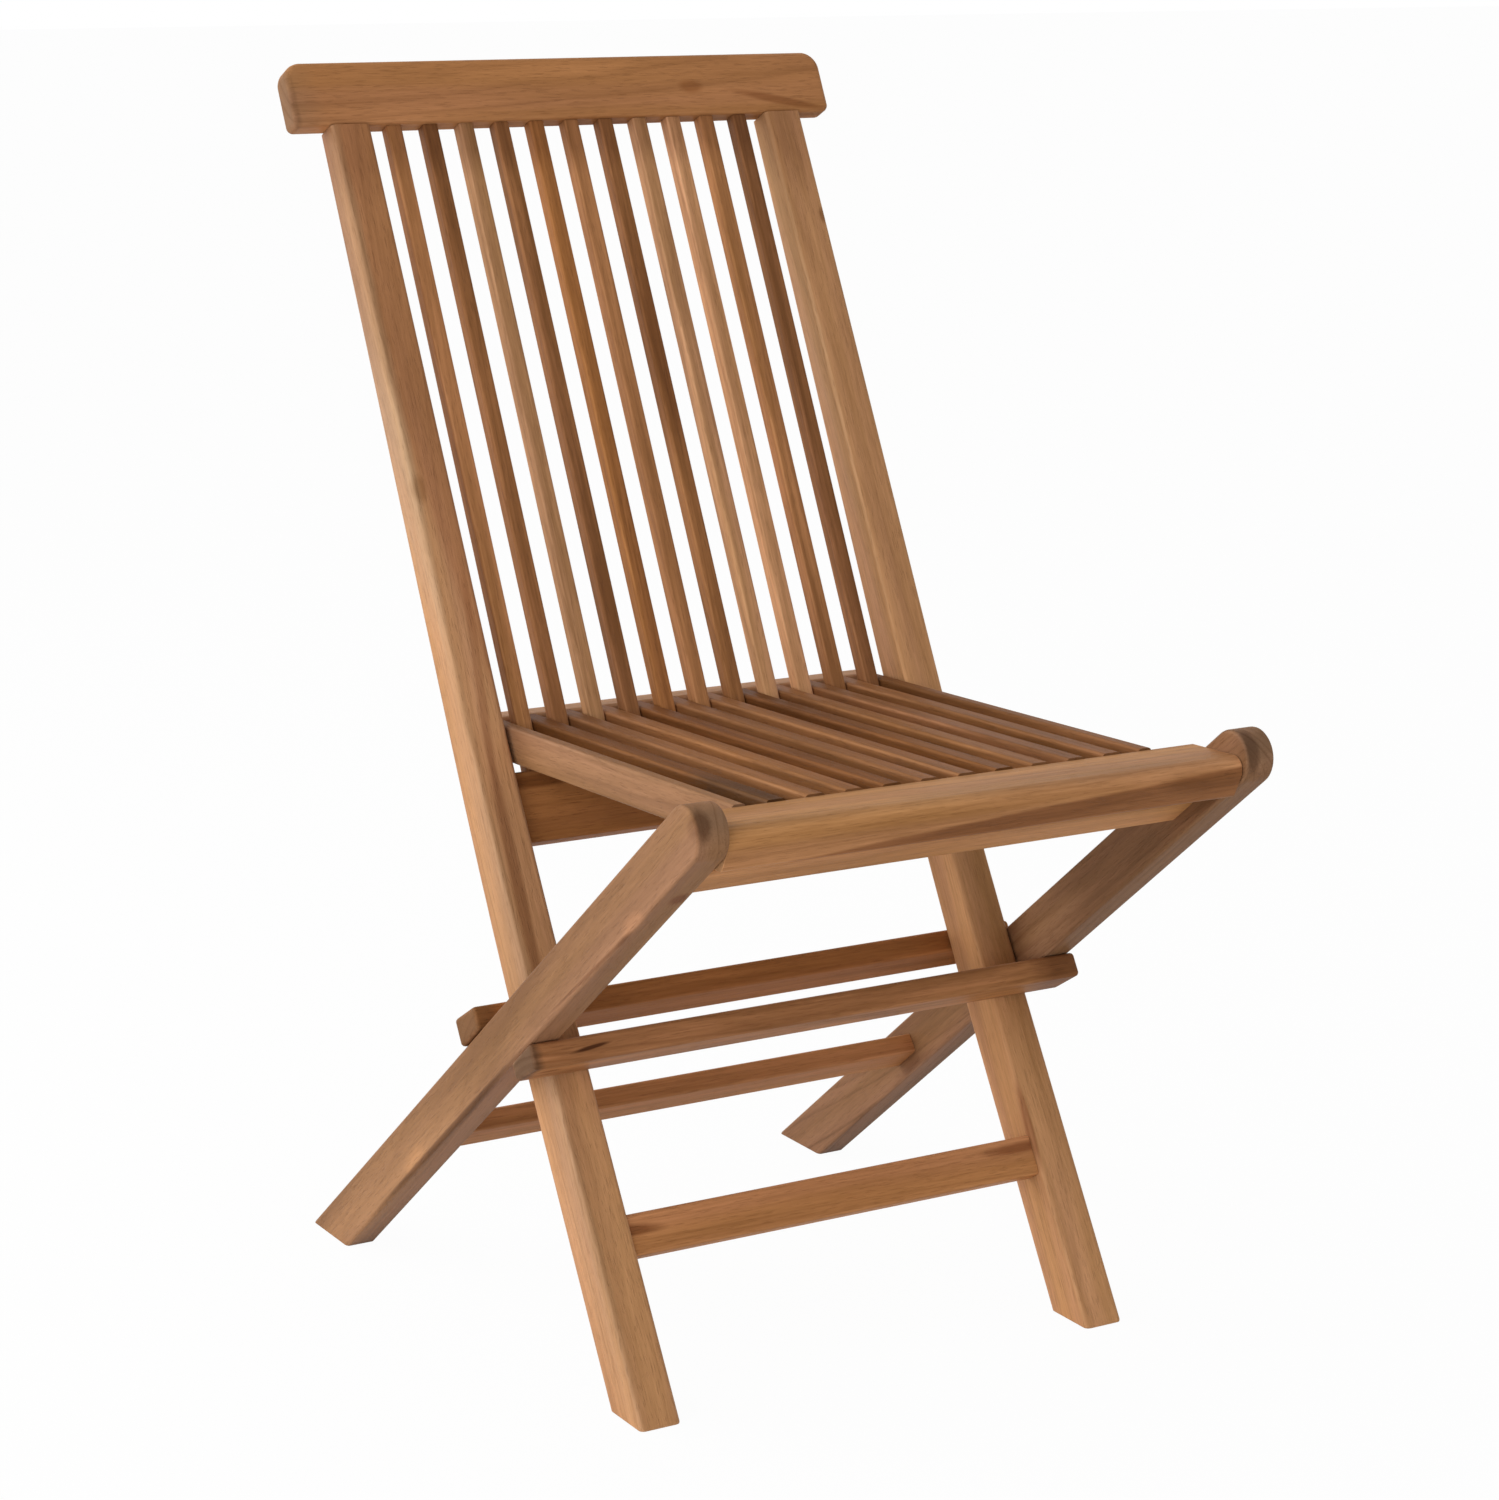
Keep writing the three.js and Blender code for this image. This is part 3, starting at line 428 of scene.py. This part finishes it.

# at: place in the frame; size: along the grain and across it, both in metres
# rise: how far the spot slants across the grain for each metre along it
# shares: how much of each colour is left, above 1 for a paler spot
# soft: how much of the spot fades out; ragged: how uneven its edge is
usualSpot = {"rise": (0, 0), "soft": 0.5, "ragged": 0.4}
knot = (0.6, 0.54, 0.48)
spots = {
    "seat_slat_01": [
        {"at": (-0.138, -0.219, 0.443), "size": (0.08, 0.02, 0.03), "shares": (0.62, 0.68, 0.78)},
    ],
    "back_lower_rail": [
        # painted shade under the seat, along the rail's top near its left end
        {"at": (-0.149, 0.054, 0.397), "size": (0.04, 0.02, 0.006), "shares": (0.55, 0.48, 0.42)},
    ],
    "crest_rail": [
        {"at": (-0.2275, 0.28, 0.86), "size": (0.007, 0.05, 0.05), "shares": (0.7, 0.7, 0.72)},
        {"at": (0.107, 0.283, 0.869), "size": (0.012, 0.03, 0.006), "shares": (0.78, 0.7, 0.62)},
        {"at": (0.185, 0.277, 0.857), "size": (0.05, 0.03, 0.004), "rise": (0, -0.2),
         "shares": (0.68, 0.6, 0.54)},
        {"at": (0.02, 0.29, 0.846), "size": (0.06, 0.03, 0.008), "shares": (0.84, 0.78, 0.72)},
        {"at": (-0.24, 0.28, 0.86), "size": (0.04, 0.05, 0.05), "shares": (0.9, 0.98, 1.12)},
    ],
    "seat_front_rail": [
        # painted shade and a greyer cast on the rail's top face
        {"at": (0, -0.29, 0.4525), "size": (0.6, 0.08, 0.012), "shares": (0.8, 0.88, 1.04)},
        {"at": (0.09, -0.3, 0.4035), "size": (0.6, 0.2, 0.03), "rise": (0, 0.058),
         "soft": 0.06, "ragged": 0.05, "shares": (0.66, 0.59, 0.55)},
        {"at": (0.02, -0.3, 0.4225), "size": (0.17, 0.2, 0.0078), "rise": (0, 0.058),
         "soft": 0.5, "ragged": 0.3, "shares": (0.8, 0.76, 0.72)},
        {"at": (0.175, -0.3, 0.432), "size": (0.05, 0.2, 0.012), "rise": (0, -0.05),
         "shares": (0.7, 0.66, 0.6)},
    ],
    "stop_rail_front": [
        {"at": (-0.181, -0.085, 0.241), "size": (0.018, 0.01, 0.0016), "rise": (0, 0.1),
         "shares": (0.25, 0.2, 0.18)},
        {"at": (-0.209, -0.076, 0.226), "size": (0.012, 0.01, 0.002), "shares": knot},
        {"at": (-0.229, -0.08, 0.232), "size": (0.012, 0.05, 0.05), "shares": (0.42, 0.46, 0.55)},
        {"at": (0.225, -0.08, 0.232), "size": (0.045, 0.05, 0.05), "shares": (0.55, 0.5, 0.46)},
    ],
    "stop_rail_rear": [
        {"at": (-0.229, 0, 0.245), "size": (0.03, 0.09, 0.09), "shares": (0.55, 0.58, 0.66)},
    ],
    "seat_rear_rail": [
        # painted light: the rail's top face paler and greyer, where it catches the light
        {"at": (0, 0.12, 0.436), "size": (0.6, 0.06, 0.016), "shares": (1.14, 1.34, 1.55)},
    ],
    "cross_leg_left": [
        {"at": (-0.224, 0.054, 0.1475), "size": (0.19, 0.006, 0.003), "shares": (0.45, 0.4, 0.37)},
        {"at": (-0.224, -0.16, 0.3165), "size": (0.09, 0.004, 0.0016), "rise": (0, 0.03),
         "shares": (0.72, 0.66, 0.62)},
        {"at": (-0.226, 0.111, 0.109), "size": (0.03, 0.008, 0.009), "ragged": 1.0,
         "shares": (1.24, 1.22, 1.18)},
        {"at": (-0.226, 0.078, 0.119), "size": (0.016, 0.006, 0.005), "shares": (0.68, 0.64, 0.62)},
        {"at": (-0.226, -0.226, 0.368), "size": (0.022, 0.008, 0.009), "ragged": 1.0,
         "shares": (1.26, 1.24, 1.22)},
        {"at": (-0.226, -0.212, 0.3535), "size": (0.02, 0.006, 0.003), "shares": (0.7, 0.64, 0.6)},
        {"at": (-0.209, -0.2587, 0.3906), "size": (0.01, 0.008, 0.004), "shares": (0.7, 0.54, 0.46)},
        {"at": (-0.219, -0.309, 0.452), "size": (0.02, 0.0075, 0.014), "ragged": 0.7,
         "shares": (0.55, 0.48, 0.44)},
    ],
    "cross_leg_right": [
        {"at": (0.2, -0.073, 0.269), "size": (0.07, 0.02, 0.03), "shares": (1.22, 1.26, 1.32)},
        {"at": (0.206, -0.309, 0.45), "size": (0.016, 0.007, 0.03), "shares": (0.6, 0.56, 0.54)},
    ],
    "back_post_left": [
        {"at": (-0.1875, 0.01, 0.335), "size": (0.14, 0.006, 0.02), "rise": (-0.02, 0),
         "shares": (0.62, 0.55, 0.5)},
        {"at": (-0.1805, 0.08, 0.47), "size": (0.11, 0.0045, 0.02), "rise": (-0.075, 0),
         "shares": (0.78, 0.72, 0.68)},
        # painted sheen: a greyer, whiter cast on the post's outer face
        {"at": (-0.2, -0.04, 0.31), "size": (0.45, 0.009, 0.06), "shares": (0.86, 0.96, 1.08)},
        {"at": (-0.1935, 0.1459, 0.598), "size": (0.013, 0.007, 0.02), "shares": (0.75, 0.7, 0.64)},
        # painted shade under the crest rail, at the top of the post
        {"at": (-0.19, 0.268, 0.85), "size": (0.07, 0.05, 0.05), "shares": (0.76, 0.72, 0.7)},
        {"at": (-0.1435, 0.198, 0.7), "size": (0.5, 0.06, 0.08), "rise": (0.068, 0),
         "soft": 0.12, "ragged": 0.08, "shares": (0.84, 0.75, 0.7)},
        # painted sheen: a greyer, whiter cast on the post's outer face
        {"at": (-0.2, 0.2, 0.72), "size": (0.3, 0.009, 0.06), "shares": (0.86, 1.0, 1.2)},
    ],
    "back_post_right": [
        {"at": (0.1964, 0.2331, 0.7709), "size": (0.008, 0.004, 0.01), "shares": knot},
        {"at": (0.1692, -0.1067, 0.133), "size": (0.04, 0.003, 0.008), "shares": (0.6, 0.5, 0.45)},
        # painted shade under the crest rail, at the top of the post
        {"at": (0.19, 0.268, 0.85), "size": (0.07, 0.05, 0.05), "shares": (0.8, 0.76, 0.74)},
        # painted sheen: a greyer cast on the post's inner face
        {"at": (0.163, 0.2, 0.72), "size": (0.5, 0.009, 0.06), "shares": (0.82, 0.9, 1.0)},
    ],
    "foot_stretcher": [
        # painted shadow: a dark wedge at each end, where the stretcher meets the posts
        {"at": (-0.17, -0.114, 0.1155), "size": (0.034, 0.02, 0.005), "rise": (0, -0.06),
         "shares": (0.5, 0.42, 0.36)},
        {"at": (0.158, -0.117, 0.1185), "size": (0.04, 0.02, 0.0045), "shares": (0.6, 0.5, 0.44)},
    ],
    "back_slat_02": [
        {"at": (-0.13, 0.25, 0.82), "size": (0.2, 0.03, 0.03), "shares": (0.75, 0.72, 0.7)},
    ],
    "back_slat_07": [
        {"at": (0.04, 0.2, 0.68), "size": (0.12, 0.03, 0.03), "shares": (0.66, 0.6, 0.56)},
    ],
    "back_slat_11": [
        {"at": (0.13, 0.1, 0.56), "size": (0.3, 0.03, 0.03), "soft": 0.3,
         "shares": (0.66, 0.56, 0.48)},
    ],
}

# painted shade: every back slat is darkened where it runs under the crest rail
crestShade = {"firstX": -0.15, "stepX": 0.03, "y": 0.272, "z": 0.85,
              "size": (0.045, 0.05, 0.05), "shares": (0.72, 0.68, 0.66)}
for index in range(len(slatSets["back_slat"]["looks"])):
    x = crestShade["firstX"] + crestShade["stepX"] * index
    spots.setdefault(slatName("back_slat", index), []).append(
        {"at": (x, crestShade["y"], crestShade["z"]), "size": crestShade["size"],
         "shares": crestShade["shares"]})

finish = {
    "specular": 0.07,  # oiled wood has little gloss
    "bumpStrength": 0.5,
    "bumpDepth": 0.0006,
    "boardShift": 0.01,  # along the grain, for each 1 of the seed
}


def teakMaterial(name, wood, middle):
    material = bpy.data.materials.new(name + "_teak")
    material.use_nodes = True
    tree = material.node_tree
    shader = tree.nodes["Principled BSDF"]
    slope = math.radians(wood["slope"])
    if wood["across"]:
        turn = Euler((0, 0, 0))
        grain = Vector((1, 0, 0))
    else:
        turn = Euler((-slope, 0, -math.pi / 2))
        grain = Vector((0, math.cos(slope), math.sin(slope)))
    face = Vector((0, -math.sin(slope), math.cos(slope)))
    matrix = turn.to_matrix()
    start = Vector((wood["seed"] * finish["boardShift"], *wood["heart"]))
    location = start - matrix @ middle

    where = tree.nodes.new("ShaderNodeTexCoord")
    mapping = tree.nodes.new("ShaderNodeMapping")
    mapping.inputs["Rotation"].default_value = turn
    mapping.inputs["Location"].default_value = location
    tree.links.new(where.outputs["Object"], mapping.inputs["Vector"])
    teak = tree.nodes.new("ShaderNodeGroup")
    teak.node_tree = teakGroup
    tree.links.new(mapping.outputs["Vector"], teak.inputs["Vector"])
    tree.links.new(where.outputs["Normal"], teak.inputs["Normal"])
    teak.inputs["Grain Axis"].default_value = grain
    teak.inputs["Face Axis"].default_value = face
    for label in ("Seed", "Spacing", "Taper", "Figure", "Streak", "Fibre", "Wear"):
        teak.inputs[label].default_value = wood[label.lower()]
    tone = toLinear(tones[wood["tone"]])
    for label, shares in toneShares.items():
        shaded = [part * share * wood["shade"] for part, share in zip(tone, shares)]
        teak.inputs[label].default_value = shaded + [1.0]

    color = teak.outputs["Color"]
    for number, spot in enumerate(spots.get(name, [])):
        spot = {**usualSpot, **spot}
        node = tree.nodes.new("ShaderNodeGroup")
        node.node_tree = spotGroup
        tree.links.new(color, node.inputs["Color"])
        tree.links.new(mapping.outputs["Vector"], node.inputs["Vector"])
        node.inputs["Centre"].default_value = matrix @ Vector(spot["at"]) + location
        node.inputs["Size"].default_value = spot["size"]
        node.inputs["Slope"].default_value = (0, *spot["rise"])
        node.inputs["Left"].default_value = (*spot["shares"], 1.0)
        node.inputs["Soft"].default_value = spot["soft"]
        node.inputs["Ragged"].default_value = spot["ragged"]
        node.inputs["Seed"].default_value = wood["seed"] + number
        color = node.outputs["Color"]

    tree.links.new(color, shader.inputs["Base Color"])
    tree.links.new(teak.outputs["Roughness"], shader.inputs["Roughness"])
    shader.inputs["Specular IOR Level"].default_value = finish["specular"]
    bump = tree.nodes.new("ShaderNodeBump")
    bump.inputs["Strength"].default_value = finish["bumpStrength"]
    bump.inputs["Distance"].default_value = finish["bumpDepth"]
    tree.links.new(teak.outputs["Height"], bump.inputs["Height"])
    tree.links.new(bump.outputs["Normal"], shader.inputs["Normal"])
    return material


sanding = {
    "mergeWithin": 0.00002,  # metres
    "smoothBelow": 38,  # degrees between two facets
    "flatWeight": 80,  # how far the large flat faces decide the shading
}


# A sanded copy of a CAD piece: its facets are merged and shaded as one eased surface
def sandedCopy(node, name):
    bpy.ops.object.select_all(action="DESELECT")
    source = frame["nodes"][node]
    source.select_set(True)
    bpy.context.view_layer.objects.active = source
    bpy.ops.object.duplicate()
    piece = bpy.context.view_layer.objects.active
    piece.name = name
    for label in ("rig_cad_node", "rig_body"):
        del piece[label]
    piece.parent = None
    piece.data.materials.clear()
    bpy.ops.object.mode_set(mode="EDIT")
    bpy.ops.mesh.select_all(action="SELECT")
    bpy.ops.mesh.customdata_custom_splitnormals_clear()
    bpy.ops.mesh.remove_doubles(threshold=sanding["mergeWithin"])
    bpy.ops.object.mode_set(mode="OBJECT")
    bpy.ops.object.shade_smooth_by_angle(angle=math.radians(sanding["smoothBelow"]))
    bpy.ops.object.modifier_add(type="WEIGHTED_NORMAL")
    evened = piece.modifiers[0]
    evened.keep_sharp = True
    evened.weight = sanding["flatWeight"]
    bpy.ops.object.modifier_apply(modifier=evened.name)
    return piece


bodyOf = {}
for body, nodes in frame["record"]["behaviour"]["bodies"].items():
    for node in nodes:
        bodyOf[node] = body

for node, wood in woods.items():
    low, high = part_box(node)
    piece = sandedCopy(node, node + "_wood")
    piece.data.materials.append(teakMaterial(node, {**usualWood, **wood}, (low + high) / 2))
    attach(piece, bodyOf[node])
    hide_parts(node)
print("wooden pieces dressed:", len(woods))


# Pins and dowels are hidden and keep their CAD shape
# waves: of the turning marks or the fibres, in a metre along X, Y and Z
hardware = {
    "pin": {"name": "turnedSteel", "tone": (150, 152, 154), "metallic": 1.0, "waves": (2600, 60, 60)},
    "dowel": {"name": "dowelBeech", "tone": (206, 168, 124), "metallic": 0.0, "waves": (700, 90, 90)},
}
hardwarePattern = {
    "seed": 2.0,
    "detail": 3,
    "darkShare": 0.8,
    "lightShare": 1.08,
    "roughness": 0.25,
    "linesRoughness": 0.3,
}


def hardwareMaterial(look, pattern):
    material = bpy.data.materials.new(look["name"])
    material.use_nodes = True
    tree = material.node_tree
    shader = tree.nodes["Principled BSDF"]
    where = tree.nodes.new("ShaderNodeTexCoord")
    lines = vectorStep(tree, "MULTIPLY", where.outputs["Object"], look["waves"])
    lines = noiseStep(tree, lines, pattern["seed"], pattern["detail"])
    dark = toLinear([part * pattern["darkShare"] for part in look["tone"]])
    light = toLinear([part * pattern["lightShare"] for part in look["tone"]])
    rough = mathStep(tree, "MULTIPLY_ADD", lines, pattern["linesRoughness"], pattern["roughness"])
    tree.links.new(mixStep(tree, lines, dark, light), shader.inputs["Base Color"])
    tree.links.new(rough, shader.inputs["Roughness"])
    shader.inputs["Metallic"].default_value = look["metallic"]
    return material


for kind, look in hardware.items():
    material = hardwareMaterial(look, hardwarePattern)
    for name, node in frame["nodes"].items():
        if kind in name:
            node.data.materials.clear()
            node.data.materials.append(material)
print("pins and dowels dressed")

# Studio: a pale floor, soft light mostly from the sitter's right and behind, white all round
studio = {
    "floorSize": 60,
    "floorDrop": 0.0004,  # keeps the floor clear of the feet
    "floorTone": (236, 236, 236),
    "floorRoughness": 0.9,
    "shadowShare": 0.035,  # how much of the floor's own shading the camera sees
    "worldLevel": 0.53,
    "lamps": [
        {"name": "leftSoftbox", "at": (-2.7, -0.7, 1.5), "size": 2.6, "watts": 34},
        {"name": "rearSoftbox", "at": (-2.3, 1.9, 1.2), "size": 2.2, "watts": 47},
        {"name": "frontSoftbox", "at": (-2.2, -2.7, 1.3), "size": 2.4, "watts": 18},
    ],
    "aim": (0, 0, 0.4),
}


# plain is the shader that lights and shades; a share of it stays in view
def whiteWhenSeen(tree, plain, share):
    seen = tree.nodes.new("ShaderNodeLightPath")
    either = mathStep(tree, "MAXIMUM", seen.outputs["Is Camera Ray"], seen.outputs["Is Glossy Ray"])
    either = mathStep(tree, "MAXIMUM", either, seen.outputs["Is Transmission Ray"])
    mix = tree.nodes.new("ShaderNodeMixShader")
    feed(tree, mix.inputs[0], mathStep(tree, "MULTIPLY", either, 1 - share))
    tree.links.new(plain, mix.inputs[1])
    return mix


def makeFloor():
    bpy.ops.object.select_all(action="DESELECT")
    place = (0, 0, -studio["floorDrop"])
    bpy.ops.mesh.primitive_plane_add(size=studio["floorSize"], location=place)
    floor = bpy.context.active_object
    floor.name = "paleFloor"
    material = bpy.data.materials.new("palePaper")
    material.use_nodes = True
    tree = material.node_tree
    shader = tree.nodes["Principled BSDF"]
    shader.inputs["Base Color"].default_value = toLinear(studio["floorTone"])
    shader.inputs["Roughness"].default_value = studio["floorRoughness"]
    white = tree.nodes.new("ShaderNodeEmission")
    mix = whiteWhenSeen(tree, shader.outputs[0], studio["shadowShare"])
    tree.links.new(white.outputs[0], mix.inputs[2])
    tree.links.new(mix.outputs[0], tree.nodes["Material Output"].inputs["Surface"])
    floor.data.materials.append(material)


def makeWorld():
    world = bpy.data.worlds.new("studioWorld")
    bpy.context.scene.world = world
    world.use_nodes = True
    tree = world.node_tree
    plain = tree.nodes["Background"]
    plain.inputs["Color"].default_value = (1, 1, 1, 1)
    plain.inputs["Strength"].default_value = studio["worldLevel"]
    white = tree.nodes.new("ShaderNodeBackground")
    white.inputs["Color"].default_value = (1, 1, 1, 1)
    mix = whiteWhenSeen(tree, plain.outputs[0], 0)
    tree.links.new(white.outputs[0], mix.inputs[2])
    tree.links.new(mix.outputs[0], tree.nodes["World Output"].inputs["Surface"])


def makeLamps():
    for lamp in studio["lamps"]:
        data = bpy.data.lights.new(lamp["name"], "AREA")
        data.size = lamp["size"]
        data.energy = lamp["watts"]
        light = bpy.data.objects.new(lamp["name"], data)
        light.location = lamp["at"]
        aim = Vector(studio["aim"]) - Vector(lamp["at"])
        light.rotation_euler = aim.to_track_quat("-Z", "Y").to_euler()
        light.visible_camera = False
        bpy.context.scene.collection.objects.link(light)


makeFloor()
makeWorld()
makeLamps()

# at in metres, tilt and heading in degrees, lens and film in millimetres
viewpoint = {
    "at": (-1.29939, -2.21293, 0.99747),
    "tilt": 77.1615,
    "heading": -30.3123,
    "lens": 87.893,
    "film": 36,
}
data = bpy.data.cameras.new("photoCamera")
data.lens = viewpoint["lens"]
data.sensor_width = viewpoint["film"]
camera = bpy.data.objects.new("photoCamera", data)
camera.location = viewpoint["at"]
camera.rotation_euler = (math.radians(viewpoint["tilt"]), 0, math.radians(viewpoint["heading"]))
bpy.context.scene.collection.objects.link(camera)
bpy.context.scene.camera = camera
bpy.context.scene.view_settings.view_transform = "Standard"
print("studio ready")
